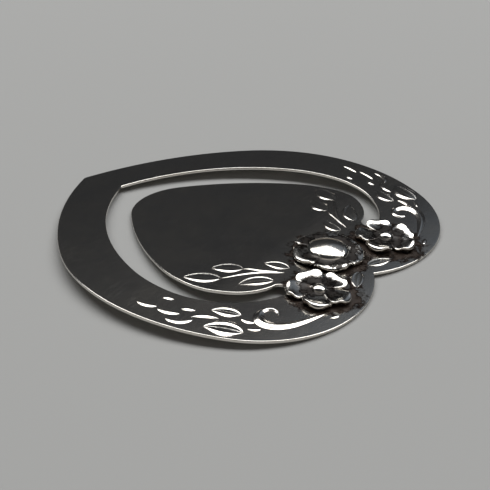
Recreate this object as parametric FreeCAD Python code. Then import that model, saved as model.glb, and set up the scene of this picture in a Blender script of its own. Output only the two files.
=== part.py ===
"""Heart-shaped page clip: a thin silver sheet pierced by a heart-shaped slot that frees a
springy tongue, with a rose, two blossoms, leaves and scrolls raised on its face.

Millimetres, +Z up. X runs across the heart, +Y points from the lobes to the tip, and the
origin lies under the middle of the heart on the surface that the clip rests on. The plan
values below are measured from the axis (x) and from the lowest points of the two lobes (y).
"""
import FreeCAD, Part
import math
import os

# --- The sheet ---------------------------------------------------------------------------
SHEET = 0.4                 # thickness
LENGTH = 50.0               # lobes to tip
BOW = 1.3                   # height of the sheet's underside at mid length, over its ends

# --- Outer edge of the heart: lobe arc, side arc and tip arc, each tangent to the next -----
LOBE_R = 14.93
LOBE_X = 8.64               # centre of the lobe arc
SIDE_SWEEP = 0.7385         # side arc's radius per mm from the lobe's centre to the tip
SIDE_FROM = math.radians(-26.4)
SIDE_TO = math.radians(38.4)
TIP_ROUND = 0.8

# --- Outer edge of the slot, which is the inner edge of the frame --------------------------
BAND = 6.15                 # width of the frame at its sides
BAND_AT_TIP = 7.1
SLOT_WIDEST_Y = 19.2
SLOT_LOBE_R = 11.5
SLOT_SIDE_R = 17.6
SLOT_SIDE_TO = math.radians(20.6)
SLOT_TIP_ROUND = 0.8

# --- The tongue inside the slot ------------------------------------------------------------
GAP = 2.8                   # slot width at the sides
GAP_AT_TIP = 4.2
TONGUE_WIDEST_Y = 17.5
TONGUE_LOBE_R = 7.4
TONGUE_SIDE_R = 15.6
TONGUE_SIDE_TO = math.radians(24.4)
TONGUE_TIP_ROUND = 7.5
SLOT_END_X = 10.4           # centre of each slot's round end
FLEX_FROM = 14.3            # where the sheet starts to bend, past the rose
FLEX_LENGTH = 1.2
TONGUE_DIP = math.radians(2.2)   # the tongue slopes down to its tip

# --- Rose on the axis ----------------------------------------------------------------------
ROSE_Y = 9.3
ROSE_R = 4.5                # to the tips of the outer petals
ROSE_PETALS = 5
ROSE_PETAL_R = 2.3
ROSE_TURN = math.radians(6)      # first petal
ROSE_SEAT_H = 0.45          # floor that the bud stands on
ROSE_CREST_H = 0.75
ROSE_RIM_H = 0.45
BUD_R = 2.7
BUD_H = 1.15
BUD_FOLDS = 3
BUD_FOLD_R = 0.12           # grooves between the petals of the bud
BUD_FOLD_AT = 0.75          # share of the bud's radius at which they are centred
BUD_FOLD_UP = 0.67          # share of the bud's height at which they are centred
BUD_FOLD_TILT = 24.0        # degrees
DOME_RIM = 0.3              # share of a dome's height that its upright rim takes

# --- Blossoms on the lobes -----------------------------------------------------------------
BLOSSOM_X = 7.9
BLOSSOM_Y = 5.6
BLOSSOM_R = 4.0             # to the tips of the petals
BLOSSOM_PETALS = 5
BLOSSOM_PETAL_R = 1.55
BLOSSOM_TURN = math.radians(48)  # first petal of the right blossom
BLOSSOM_SEAT_H = 0.4
BLOSSOM_CREST_R = 2.9
BLOSSOM_CREST_H = 0.9
BLOSSOM_RIM_H = 0.5
CENTRE_R = 0.9
CENTRE_H = 0.85

# --- Petals of the rose and the blossoms, in section ---------------------------------------
PETAL_SAG = 0.4             # share of the rise reached half way up to the crest
PETAL_ROLL = 0.6            # share of the way out to the rim where the roll is still full

# --- Low relief ----------------------------------------------------------------------------
LEAF_H = 0.35
MIDRIB_R = 0.13
CRESCENT_H = 0.3
STEM_H = 0.2
SCROLL_H = 0.55
SUNK = 0.02                 # relief is made this much deeper, then trimmed to the sheet

# Each leaf: base x, y, tip x, y and width, on the right half. On the frame x is measured
# inwards from its widest point, on the neck and tongue inwards from the tongue's, and by the
# notch from the axis.
NECK_LEAVES = (
    (6.45, 10.9, 3.05, 13.6, 1.7),
    (9.85, 11.0, 8.85, 14.0, 1.6),
)
TONGUE_LEAVES = (
    (3.0, 16.1, 0.9, 20.2, 2.2),
    (6.4, 15.6, 4.4, 18.6, 2.3),
)
FRAME_LEAVES = (
    (4.7, 7.6, 2.9, 11.7, 2.6),
    (7.2, 9.7, 5.9, 12.9, 1.5),
)
NOTCH_LEAVES = (
    (0.9, 4.2, 4.2, 2.7, 1.5),
)
# Each crescent, from the same places: start x, y, end x, y, bulge to the left of the way
# and width
NECK_STEMS = (
    (8.05, 11.0, 6.85, 13.9, -0.3, 0.45),
    (6.65, 12.7, 4.85, 14.0, 0.3, 0.45),
)
TONGUE_STEMS = (
    (4.4, 15.7, 3.2, 15.9, 0.15, 0.4),
)
FRAME_CRESCENTS = (
    (2.7, 18.3, 2.0, 20.3, -0.3, 0.8),
    (3.1, 15.5, 2.2, 17.5, -0.3, 0.9),
    (3.0, 13.4, 1.2, 15.7, -0.55, 0.95),
    (5.0, 11.5, 3.5, 13.7, 0.3, 0.9),
    (4.6, 14.3, 4.1, 15.5, 0.2, 0.65),
    (4.9, 17.6, 4.6, 18.6, 0.2, 0.5),
    (6.9, 7.9, 6.6, 9.3, -0.2, 0.6),
    (6.4, 6.7, 5.4, 7.6, -0.15, 0.45),
    (10.8, 6.9, 9.6, 7.9, -0.3, 0.5),
    (14.5, 1.4, 13.3, 1.8, -0.15, 0.45),
)
SCROLL_HEAD = (8.1, 7.2)
SCROLL_TAIL = (13.4, 2.85)
SCROLL_BULGE = 1.1          # the scroll bows towards the outer edge
SCROLL_W = 1.3              # across its round head
SCROLL_SWEEP_W = 1.04       # across its middle

# --- Worked out from the above ---------------------------------------------------------------
MIDDLE = LENGTH / 2
UNDER_R = (MIDDLE**2 + BOW**2) / (2 * BOW)
TOP_R = UNDER_R + SHEET
BOW_Z = BOW - UNDER_R       # height of the axis that the sheet is bowed about
WIDE = 2 * LENGTH           # longer than anything that a cut must pass through
TALL = 20 * SHEET

Vector = FreeCAD.Vector


def plan(x, y, z=0.0):
    """A point given in the plan's own y, in the frame of the part."""
    return Vector(x, y - MIDDLE, z)


def on_circle(centre, radius, angle):
    return centre + Vector(radius * math.cos(angle), radius * math.sin(angle), 0)


def arc(start, middle, end):
    return Part.Arc(start, middle, end).toShape()


def round_arc(centre, radius, first, last):
    """An arc from one angle to another, whichever way that turns."""
    half_way = (first + last) / 2
    return arc(*(on_circle(centre, radius, angle) for angle in (first, half_way, last)))


def line(start, end):
    return Part.LineSegment(start, end).toShape()


def mirrored(shape):
    return shape.mirror(Vector(0, 0, 0), Vector(1, 0, 0))


def fused(shapes):
    first, *rest = shapes
    return first.fuse(rest).removeSplitter() if rest else first


def prism(edges):
    """A tall solid over a closed outline."""
    face = Part.Face(Part.Wire(Part.__sortEdges__(edges)))
    face.translate(Vector(0, 0, -TALL))
    return face.extrude(Vector(0, 0, 3 * TALL))


def heart_half(side_centre, side_r, side_from, side_to, lobe_r, tip, tip_round):
    """Arcs of the right half of a heart and their centres, from the lobe to the tip.

    The tip arc leaves the side arc tangentially and ends on a small round on the axis.
    """
    lobe_centre = on_circle(side_centre, side_r - lobe_r, side_from)
    joint = on_circle(side_centre, side_r, side_to)
    round_centre = plan(0, tip - tip_round)
    along = Vector(math.cos(side_to), math.sin(side_to), 0)
    to_round = joint - round_centre
    tip_r = (to_round.dot(to_round) - tip_round**2) / (2 * (along.dot(to_round) - tip_round))
    tip_centre = joint - along * tip_r
    to_tip = round_centre - tip_centre
    tip_to = math.atan2(to_tip.y, to_tip.x)
    edges = [
        round_arc(side_centre, side_r, side_from, side_to),
        round_arc(tip_centre, tip_r, side_to, tip_to),
        round_arc(round_centre, tip_round, tip_to, math.pi / 2),
    ]
    return edges, lobe_centre


def lobe_angle(centre, radius, x):
    """Angle, on the lower half of a lobe arc, at which it reaches the given x."""
    return -math.acos((x - centre.x) / radius)


# --- Plan outlines ---------------------------------------------------------------------------
SIDE_R = SIDE_SWEEP * (LENGTH - LOBE_R)
LOBE_CENTRE = plan(LOBE_X, LOBE_R)
SIDE_CENTRE = on_circle(LOBE_CENTRE, LOBE_R - SIDE_R, SIDE_FROM)
HALF_WIDTH = SIDE_CENTRE.x + SIDE_R
SLOT_HALF_WIDTH = HALF_WIDTH - BAND
TONGUE_HALF_WIDTH = SLOT_HALF_WIDTH - GAP
SLOT_TIP = LENGTH - BAND_AT_TIP


def outer_outline():
    edges, lobe_centre = heart_half(
        SIDE_CENTRE, SIDE_R, SIDE_FROM, SIDE_TO, LOBE_R, LENGTH, TIP_ROUND)
    notch = lobe_angle(lobe_centre, LOBE_R, 0)
    edges.append(round_arc(lobe_centre, LOBE_R, notch, SIDE_FROM))
    return edges + [mirrored(edge) for edge in edges]


def inner_half(half_width, widest_y, side_r, side_to, lobe_r, tip, tip_round):
    """Half of an edge of the slot, from its end at SLOT_END_X to the tip, and that end."""
    side_centre = plan(half_width - side_r, widest_y)
    edges, lobe_centre = heart_half(side_centre, side_r, 0, side_to, lobe_r, tip, tip_round)
    first = lobe_angle(lobe_centre, lobe_r, SLOT_END_X)
    edges.append(round_arc(lobe_centre, lobe_r, first, 0))
    return edges, on_circle(lobe_centre, lobe_r, first)


def slot_outer_half():
    return inner_half(SLOT_HALF_WIDTH, SLOT_WIDEST_Y, SLOT_SIDE_R, SLOT_SIDE_TO,
                      SLOT_LOBE_R, SLOT_TIP, SLOT_TIP_ROUND)


def tongue_half():
    return inner_half(TONGUE_HALF_WIDTH, TONGUE_WIDEST_Y, TONGUE_SIDE_R, TONGUE_SIDE_TO,
                      TONGUE_LOBE_R, SLOT_TIP - GAP_AT_TIP, TONGUE_TIP_ROUND)


def closed_below(half, corners):
    """Half outline, its mirror image and straight lines that close it under the lobes."""
    path = corners + [Vector(-point.x, point.y, 0) for point in reversed(corners)]
    closing = [line(start, end) for start, end in zip(path, path[1:])]
    return half + [mirrored(edge) for edge in half] + closing


def tongue_prism():
    """Everything inside the slot's inner edge, with a root that runs on below the slot."""
    half, end = tongue_half()
    outer_end = slot_outer_half()[1]
    below = Vector(end.x, outer_end.y - GAP, 0)
    return prism(closed_below(half, [end, below]))


def slot_prism():
    """The slot: between its two edges, with a round end at each side of the root."""
    half, outer_end = slot_outer_half()
    tongue_end = tongue_half()[1]
    slot = prism(closed_below(half, [outer_end])).cut(tongue_prism())
    end_r = (tongue_end.y - outer_end.y) / 2
    ends = []
    for side in (-1, 1):
        centre = Vector(side * SLOT_END_X, outer_end.y + end_r, -TALL)
        ends.append(Part.makeCylinder(end_r, 3 * TALL, centre))
    return slot.fuse(ends).removeSplitter()


# --- Side profiles ---------------------------------------------------------------------------
def bowed_angle(y):
    """Slope of the bowed sheet where its top is at this y of the part; positive is uphill."""
    return math.asin(-y / TOP_R)


def radial(radius, slope):
    """A point of the side profile at a radius about the bow's axis."""
    return Vector(0, -radius * math.sin(slope), BOW_Z + radius * math.cos(slope))


def extruded_across(edges):
    face = Part.Face(Part.Wire(Part.__sortEdges__(edges)))
    face.translate(Vector(-WIDE / 2, 0, 0))
    return face.extrude(Vector(WIDE, 0, 0))


def bowed_band(first, last, below=0.0, above=0.0):
    """The bowed sheet from one slope to another, thickened below and above as given."""
    under_r = UNDER_R - below
    top_r = TOP_R + above
    middle = (first + last) / 2
    return extruded_across([
        arc(radial(top_r, first), radial(top_r, middle), radial(top_r, last)),
        line(radial(top_r, last), radial(under_r, last)),
        arc(radial(under_r, last), radial(under_r, middle), radial(under_r, first)),
        line(radial(under_r, first), radial(top_r, first)),
    ])


END_SLOPE = bowed_angle(-1.2 * MIDDLE)                # past both ends of the heart
FLEX_SLOPE = bowed_angle(FLEX_FROM - MIDDLE)
FLEX_R = FLEX_LENGTH / (FLEX_SLOPE + TONGUE_DIP)      # bend radius of the sheet's middle
FLEX_CENTRE = radial((UNDER_R + TOP_R) / 2 - FLEX_R, FLEX_SLOPE)


def bent(offset, slope):
    """A point of the bend's side profile, offset from the middle of the sheet."""
    radius = FLEX_R + offset
    return FLEX_CENTRE + Vector(0, -radius * math.sin(slope), radius * math.cos(slope))


def flex_band():
    top, under = SHEET / 2, -SHEET / 2
    first, last = FLEX_SLOPE, -TONGUE_DIP
    middle = (first + last) / 2
    return extruded_across([
        arc(bent(top, first), bent(top, middle), bent(top, last)),
        line(bent(top, last), bent(under, last)),
        arc(bent(under, last), bent(under, middle), bent(under, first)),
        line(bent(under, first), bent(top, first)),
    ])


def tongue_band():
    """The flat sloping plate past the bend, long enough for any tongue."""
    along = Vector(0, math.cos(TONGUE_DIP), -math.sin(TONGUE_DIP)) * LENGTH
    root = bent(SHEET / 2, -TONGUE_DIP)
    under = bent(-SHEET / 2, -TONGUE_DIP)
    corners = [root, root + along, under + along, under]
    return extruded_across([line(a, b) for a, b in zip(corners, corners[1:] + corners[:1])])


# --- Sheet pieces ----------------------------------------------------------------------------
def heart_frame():
    """The ring of the heart, in one piece with the neck that carries the tongue."""
    sheet = bowed_band(END_SLOPE, -END_SLOPE).common(prism(outer_outline()))
    freed = tongue_prism().common(bowed_band(FLEX_SLOPE, -END_SLOPE, below=TALL, above=TALL))
    return sheet.cut(slot_prism()).cut(freed).removeSplitter()


def tongue_flexure():
    return flex_band().common(tongue_prism())


def page_tongue():
    return tongue_band().common(tongue_prism())


# --- Raised ornament -------------------------------------------------------------------------
def standing(shape, x, y, on_tongue=False):
    """Set a shape made about the origin, with its floor at z 0, on the top of the sheet."""
    row_y = y - MIDDLE
    if on_tongue:
        slope = -TONGUE_DIP
        root = bent(SHEET / 2, slope)
        height = root.z + (row_y - root.y) * math.tan(slope)
    else:
        slope = bowed_angle(row_y)
        height = BOW_Z + TOP_R * math.cos(slope)
    placed = shape.copy()
    placed.rotate(Vector(0, 0, 0), Vector(1, 0, 0), math.degrees(slope))
    placed.translate(Vector(x, row_y, height))
    return placed


def under_tongue():
    """What lies under the plane of the tongue's top, on both sides of its root."""
    along = Vector(0, math.cos(TONGUE_DIP), -math.sin(TONGUE_DIP)) * LENGTH
    down = Vector(0, -math.sin(TONGUE_DIP), -math.cos(TONGUE_DIP)) * TALL
    root = bent(SHEET / 2, -TONGUE_DIP)
    corners = [root - along, root + along, root + along + down, root - along + down]
    return extruded_across([line(a, b) for a, b in zip(corners, corners[1:] + corners[:1])])


def under_frame():
    """What lies under the bowed top of the frame."""
    return bowed_band(END_SLOPE, -END_SLOPE, below=TALL)


def trimmed(shapes, below):
    """Separate solids whose feet lie face to face on the sheet."""
    solids = []
    for shape in shapes:
        solids.extend(shape.cut(below).Solids)
    return Part.makeCompound(solids) if len(solids) > 1 else solids[0]


def lathe(outline):
    """A solid of revolution about Z; outline is its edges in the XZ plane."""
    face = Part.Face(Part.Wire(outline))
    return face.revolve(Vector(0, 0, 0), Vector(0, 0, 1), 360)


def dish(floor_r, floor_h, crest_r, crest_h, rim_r, rim_h):
    """Turned profile of petals: a flat seat, a slope up to a crest and a rolled rim."""
    corner = [Vector(r, 0, h) for r, h in (
        (0, -SHEET / 2), (0, floor_h), (floor_r, floor_h), (crest_r, crest_h),
        (rim_r, rim_h), (rim_r, -SHEET / 2))]
    slope_middle = Vector((floor_r + crest_r) / 2, 0, floor_h + (crest_h - floor_h) * PETAL_SAG)
    roll_middle = Vector(crest_r + (rim_r - crest_r) * PETAL_ROLL, 0, crest_h)
    return lathe([
        line(corner[0], corner[1]),
        line(corner[1], corner[2]),
        arc(corner[2], slope_middle, corner[3]),
        arc(corner[3], roll_middle, corner[4]),
        line(corner[4], corner[5]),
        line(corner[5], corner[0]),
    ])


def petal_prism(count, tip_r, petal_r, turn):
    """Round petals about a common middle."""
    reach = tip_r - petal_r
    petals = [Part.makeCylinder(reach, 2 * SHEET + TALL, Vector(0, 0, -SHEET))]
    for index in range(count):
        angle = turn + index * 2 * math.pi / count
        centre = on_circle(Vector(0, 0, -SHEET), reach, angle)
        petals.append(Part.makeCylinder(petal_r, 2 * SHEET + TALL, centre))
    return fused(petals)


def dome(radius, foot, height):
    """A low dome whose rim stands a little way up from its foot."""
    rim = foot + height * DOME_RIM
    rise = foot + height - rim
    ball_r = (radius**2 + rise**2) / (2 * rise)
    ball = Part.makeSphere(ball_r, Vector(0, 0, rim + rise - ball_r))
    return Part.makeCylinder(radius, height, Vector(0, 0, foot)).common(ball)


def rose_petals():
    bowl = dish(BUD_R, ROSE_SEAT_H, (BUD_R + ROSE_R) / 2, ROSE_CREST_H,
                ROSE_R, ROSE_RIM_H)
    outline = petal_prism(ROSE_PETALS, ROSE_R, ROSE_PETAL_R, ROSE_TURN)
    return trimmed([standing(bowl.common(outline), 0, ROSE_Y)], under_frame())


def rose_bud():
    """The closed middle of the rose, with folded petals drawn by grooves."""
    bud = dome(BUD_R, ROSE_SEAT_H, BUD_H)
    reach = BUD_R * BUD_FOLD_AT
    middle = Vector(0, 0, ROSE_SEAT_H + BUD_H * BUD_FOLD_UP)
    folds = []
    for index in range(BUD_FOLDS):
        angle = math.pi / 2 + index * 2 * math.pi / BUD_FOLDS
        across = Vector(-math.sin(angle), math.cos(angle), 0)
        fold = Part.makeTorus(reach, BUD_FOLD_R)
        fold.rotate(Vector(0, 0, 0), across, BUD_FOLD_TILT)
        fold.translate(on_circle(middle, reach, angle))
        folds.append(fold)
    return standing(bud.cut(folds), 0, ROSE_Y)


def blossom_petals():
    bowl = dish(CENTRE_R, BLOSSOM_SEAT_H, BLOSSOM_CREST_R, BLOSSOM_CREST_H,
                BLOSSOM_R, BLOSSOM_RIM_H)
    outline = petal_prism(BLOSSOM_PETALS, BLOSSOM_R, BLOSSOM_PETAL_R, BLOSSOM_TURN)
    blossom = standing(bowl.common(outline), BLOSSOM_X, BLOSSOM_Y)
    return trimmed([blossom], under_frame())


def blossom_centre():
    return standing(dome(CENTRE_R, BLOSSOM_SEAT_H, CENTRE_H), BLOSSOM_X, BLOSSOM_Y)


def from_side(place, half_width):
    """The same place with its x values measured from the axis instead of a side."""
    start_x, start_y, end_x, end_y, *rest = place
    return (half_width - start_x, start_y, half_width - end_x, end_y, *rest)


def leaf(base_x, base_y, tip_x, tip_y, width, on_tongue=False):
    """A pointed leaf: part of a spindle that lies sunk in the sheet, with a midrib groove."""
    length = math.hypot(tip_x - base_x, tip_y - base_y)
    belly_r = (width**2 / 4 + LEAF_H**2) / (2 * LEAF_H)
    depth = belly_r - LEAF_H
    half = length / 2
    ends = [Vector(-half, 0, 0), Vector(-half, 0, depth), Vector(0, 0, belly_r),
            Vector(half, 0, depth), Vector(half, 0, 0)]
    face = Part.Face(Part.Wire([
        line(ends[0], ends[1]), arc(ends[1], ends[2], ends[3]),
        line(ends[3], ends[4]), line(ends[4], ends[0])]))
    body = face.revolve(Vector(0, 0, 0), Vector(1, 0, 0), 360)
    ridge_r = (half**2 + LEAF_H**2) / (2 * LEAF_H)
    midrib = Part.makeTorus(ridge_r, MIDRIB_R, Vector(0, 0, belly_r - ridge_r), Vector(0, 1, 0))
    body = body.cut(midrib)
    body.translate(Vector(0, 0, -depth - SUNK))
    heading = math.degrees(math.atan2(tip_y - base_y, tip_x - base_x))
    body.rotate(Vector(0, 0, 0), Vector(0, 0, 1), heading)
    return standing(body, (base_x + tip_x) / 2, (base_y + tip_y) / 2, on_tongue)


def crescent(start_x, start_y, end_x, end_y, bulge, width, height=CRESCENT_H,
             head=0.0, on_tongue=False):
    """A curved ridge with pointed ends, or with a round head at its start if head is given."""
    start, end = Vector(start_x, start_y, 0), Vector(end_x, end_y, 0)
    way = end - start
    across = Vector(-way.y, way.x, 0).normalize()
    middle = (start + end) / 2
    bend = middle + across * bulge
    bow_r = (way.Length**2 / 4 + bulge**2) / (2 * abs(bulge))
    centre = bend - across * math.copysign(bow_r, bulge)
    shift = Vector(-middle.x, -middle.y, -TALL / 2)
    left, right = across * (width / 2), across * (-width / 2)
    if head:
        outward = (start - centre).normalize()
        back = Vector(-outward.y, outward.x, 0)
        back = -back if back.dot(way) > 0 else back
        far, near = start + outward * (head / 2), start - outward * (head / 2)
        flip = math.copysign(1, bulge)
        edges = [arc(far, bend + left * flip, end), arc(end, bend + right * flip, near),
                 arc(near, start + back * (head / 2), far)]
    else:
        edges = [arc(start, bend + left, end), arc(end, bend + right, start)]
    outline = Part.Face(Part.Wire(Part.__sortEdges__(edges))).extrude(Vector(0, 0, TALL))
    outline.translate(shift)
    ridge_w = max(width, head)
    tube_r = (ridge_w**2 / 4 + height**2) / (2 * height)
    spine = Vector(centre.x - middle.x, centre.y - middle.y, height - tube_r - SUNK)
    tube = Part.makeTorus(bow_r, tube_r, spine, Vector(0, 0, 1))
    return standing(tube.common(outline), middle.x, middle.y, on_tongue)


def neck_leaves():
    leaves = [from_side(place, TONGUE_HALF_WIDTH) for place in NECK_LEAVES]
    stems = [from_side(place, TONGUE_HALF_WIDTH) for place in NECK_STEMS]
    shapes = [leaf(*place) for place in leaves]
    shapes += [crescent(*place, height=STEM_H) for place in stems]
    return trimmed(shapes, under_frame())


def tongue_leaves():
    leaves = [from_side(place, TONGUE_HALF_WIDTH) for place in TONGUE_LEAVES]
    stems = [from_side(place, TONGUE_HALF_WIDTH) for place in TONGUE_STEMS]
    shapes = [leaf(*place, on_tongue=True) for place in leaves]
    shapes += [crescent(*place, height=STEM_H, on_tongue=True) for place in stems]
    return trimmed(shapes, under_tongue())


def frame_leaves():
    shapes = [leaf(*from_side(place, HALF_WIDTH)) for place in FRAME_LEAVES]
    shapes += [crescent(*from_side(place, HALF_WIDTH)) for place in FRAME_CRESCENTS]
    return trimmed(shapes, under_frame())


def notch_leaf():
    return trimmed([leaf(*place) for place in NOTCH_LEAVES], under_frame())


def scroll():
    place = from_side(SCROLL_HEAD + SCROLL_TAIL, HALF_WIDTH)
    sweep = crescent(*place, SCROLL_BULGE, SCROLL_SWEEP_W, height=SCROLL_H,
                     head=SCROLL_W)
    return trimmed([sweep], under_frame())


def pieces():
    """Every sub-part of the clip by its name; what stands on one side is mirrored."""
    named = {
        "heart_frame": heart_frame(),
        "tongue_flexure": tongue_flexure(),
        "page_tongue": page_tongue(),
        "rose_petals": rose_petals(),
        "rose_bud": rose_bud(),
    }
    on_the_right = {
        "blossom_petals": blossom_petals(),
        "blossom_centre": blossom_centre(),
        "scroll": scroll(),
        "frame_leaves": frame_leaves(),
        "notch_leaf": notch_leaf(),
        "neck_leaves": neck_leaves(),
        "tongue_leaves": tongue_leaves(),
    }
    for name, shape in on_the_right.items():
        named["right_" + name] = shape
        named["left_" + name] = mirrored(shape)
    return named


def main():
    os.makedirs("parts", exist_ok=True)
    for name, shape in pieces().items():
        shape.exportStep("parts/%s.step" % name)
        box = shape.BoundBox
        print("%-24s solids %2d valid %s volume %8.3f  x %.2f..%.2f y %.2f..%.2f z %.3f..%.3f" % (
            name, len(shape.Solids), shape.isValid(), shape.Volume,
            box.XMin, box.XMax, box.YMin, box.YMax, box.ZMin, box.ZMax))


main()
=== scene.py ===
# %% [markdown]
# # A heart-shaped page clip of polished silver
# The clip is one thin sheet with a heart cut free inside it: the inner heart is a springy
# tongue that holds the page. A rose, two blossoms, leaves and scrolls stand on the lobes.
# The imported model comes in first and never moves. The frame and its ornaments made here
# ride on the frame's body; the tongue and its sprays do not.

# %% Load the frame
import bmesh
import bpy
import math
from mathutils import Matrix, Vector


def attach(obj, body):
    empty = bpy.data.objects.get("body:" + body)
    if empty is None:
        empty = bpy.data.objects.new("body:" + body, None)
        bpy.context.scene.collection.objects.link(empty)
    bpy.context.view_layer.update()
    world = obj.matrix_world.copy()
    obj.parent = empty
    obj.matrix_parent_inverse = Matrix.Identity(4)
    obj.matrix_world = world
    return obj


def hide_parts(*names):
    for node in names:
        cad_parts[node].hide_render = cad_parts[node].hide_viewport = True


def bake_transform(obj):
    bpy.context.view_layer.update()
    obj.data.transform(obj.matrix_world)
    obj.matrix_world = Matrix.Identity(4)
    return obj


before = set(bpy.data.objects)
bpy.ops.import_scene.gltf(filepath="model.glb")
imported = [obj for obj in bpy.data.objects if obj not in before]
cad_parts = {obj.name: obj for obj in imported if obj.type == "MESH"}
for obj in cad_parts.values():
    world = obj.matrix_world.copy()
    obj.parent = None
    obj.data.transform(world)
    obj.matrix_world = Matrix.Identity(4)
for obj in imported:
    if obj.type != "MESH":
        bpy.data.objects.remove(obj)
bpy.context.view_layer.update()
scene = bpy.context.scene
scene.view_settings.view_transform = "Standard"

# %% [markdown]
# ## Working by hand in edit mode
# Blender's editing tools lose their grip on pieces a fraction of a millimetre thick, so each
# piece is modelled with one unit for a millimetre and shrunk to metres when it is done.
# These helpers do what a hand does: choose points by where they are, then let the next
# operator act on them.

# %% Choosing objects and points
def only(*objects):
    bpy.ops.object.select_all(action="DESELECT")
    for obj in objects:
        obj.select_set(True)
    bpy.context.view_layer.objects.active = objects[0]


def named(name):
    """The primitive that was just added, with its place moved into its mesh."""
    obj = bpy.context.object
    obj.name = obj.data.name = name
    bpy.ops.object.transform_apply()
    return obj


def editing(on):
    bpy.ops.object.mode_set(mode="EDIT" if on else "OBJECT")
    if on:
        bpy.ops.mesh.select_mode(type="VERT")


def pick(obj, test, kind="verts"):
    """In edit mode, select just the points, edges or faces that pass the test."""
    bpy.ops.mesh.select_mode(type={"verts": "VERT", "edges": "EDGE", "faces": "FACE"}[kind])
    bpy.ops.mesh.select_all(action="DESELECT")
    mesh = bmesh.from_edit_mesh(obj.data)
    chosen = [item for item in getattr(mesh, kind) if test(item)]
    for item in chosen:
        item.select_set(True)
    mesh.select_flush_mode()
    bmesh.update_edit_mesh(obj.data)
    return len(chosen)


print("helpers for choosing:", only.__name__, named.__name__, editing.__name__, pick.__name__)


# %% Modifiers, turning and copying
def finished(obj, kind, **settings):
    """Add a modifier of that kind and apply it."""
    only(obj)
    modifier = obj.modifiers.new("step", kind)
    for key, value in settings.items():
        setattr(modifier, key, value)
    bpy.ops.object.modifier_apply(modifier=modifier.name)
    return obj


def turned(angle, axis, about):
    """Turn what is selected; with no window this operator turns the other way."""
    bpy.ops.transform.rotate(value=-angle, orient_axis=axis, center_override=about)


def copy_of(obj, name):
    """The same piece again, with a mesh of its own."""
    copy = obj.copy()
    copy.data = obj.data.copy()
    copy.name = copy.data.name = name
    scene.collection.objects.link(copy)
    only(copy)
    return copy


def faces_outwards():
    bpy.ops.mesh.select_all(action="SELECT")
    bpy.ops.mesh.normals_make_consistent(inside=False)


print("helpers for shaping:", finished.__name__, turned.__name__, copy_of.__name__)


# %% [markdown]
# ## The sheet's own sizes
# All in millimetres: how thick the sheet is, how far it is bowed, and the arcs of its
# outlines. Y is 0 at mid length, so the tip is at 25 and the lobes reach -25. The sides are
# large arcs that leave the lobes tangentially, which is how such a heart is drawn with a
# compass.

# %% Sizes of the sheet
SHEET = 0.4
LENGTH = 50.0
MIDDLE = LENGTH / 2
BOW = 1.3
UNDER_R = (MIDDLE**2 + BOW**2) / (2 * BOW)
TOP_R = UNDER_R + SHEET
LOBE_R, LOBE_X = 14.93, 8.64
TIP_ROUND = 0.8
SIDE_SHARE = 0.7385
SIDE_R = SIDE_SHARE * (LENGTH - LOBE_R)
SIDE_FROM, SIDE_TO = math.radians(-26.4), math.radians(38.4)
LOBE_CENTRE = Vector((LOBE_X, LOBE_R - MIDDLE, 0))


def on_circle(centre, radius, angle):
    return centre + Vector((radius * math.cos(angle), radius * math.sin(angle), 0))


SIDE_CENTRE = on_circle(LOBE_CENTRE, LOBE_R - SIDE_R, SIDE_FROM)
HALF_WIDTH = SIDE_CENTRE.x + SIDE_R
print("half width", round(HALF_WIDTH, 3), "radius of the bow", round(TOP_R, 1))


# %% [markdown]
# An outline is drawn as a silversmith draws it, arc after arc, each tangent to the last: one
# point is spun about the centre of the first arc, and the end of that arc about the next
# centre. Only the right half is drawn, and symmetrize makes the left one.

# %% Drawing with spun points
def heart_arcs(side_centre, side_r, side_to, tip, tip_round):
    """The arc that leaves the side tangentially and the small round at the tip."""
    joint = on_circle(side_centre, side_r, side_to)
    round_centre = Vector((0, tip - tip_round, 0))
    along = Vector((math.cos(side_to), math.sin(side_to), 0))
    to_round = joint - round_centre
    tip_r = (to_round.dot(to_round) - tip_round**2) / (2 * (along.dot(to_round) - tip_round))
    tip_centre = joint - along * tip_r
    to_tip = round_centre - tip_centre
    tip_to = math.atan2(to_tip.y, to_tip.x)
    return [(tip_centre, tip_to - side_to, 40), (round_centre, math.pi / 2 - tip_to, 8)]


def point_at(name, place):
    """A mesh of one point, in edit mode, ready to be spun or extruded."""
    bpy.ops.object.select_all(action="DESELECT")
    bpy.ops.mesh.primitive_plane_add(size=1)
    obj = named(name)
    editing(True)
    bpy.ops.mesh.merge(type="CENTER")
    bpy.ops.transform.translate(value=place)
    return obj


def spun(arcs):
    """Spin the selected point through arcs: centre, angle (positive is anticlockwise), steps."""
    for centre, angle, steps in arcs:
        bpy.ops.mesh.spin(steps=steps, angle=-angle, center=centre, axis=(0, 0, 1))


def angle_at(centre, radius, x):
    """Where a circle passes that x on its lower side."""
    return -math.acos((x - centre.x) / radius)


print("lobes start at", round(math.degrees(angle_at(LOBE_CENTRE, LOBE_R, 0)), 1), "degrees")


# %% [markdown]
# ## From outline to sheet
# A flat outline becomes sheet in five moves: fill it, give it its thickness, draw a line just
# inside its edge so that the flat stays flat, round its sawn edge, and cut it across in narrow
# strips so that it can bend smoothly. The edge of real sheet is filed and polished round, and
# that is what draws the bright line along it.

# %% Sheet from a drawn half
# Points nearer than TOUCHING count as one. The line inside the edge lies RIM_LINE from it, and
# edges that turn by more than CORNER, in radians, are rounded. The strips are 1 mm wide, and
# their offset keeps the cuts off the points that are already there.
TOUCHING = 1e-4
RIM_LINE = 0.2
CORNER = 1.0
EDGE_ROUND, EDGE_STEPS = 0.11, 4
STRIP_OFFSET = 0.03


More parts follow.
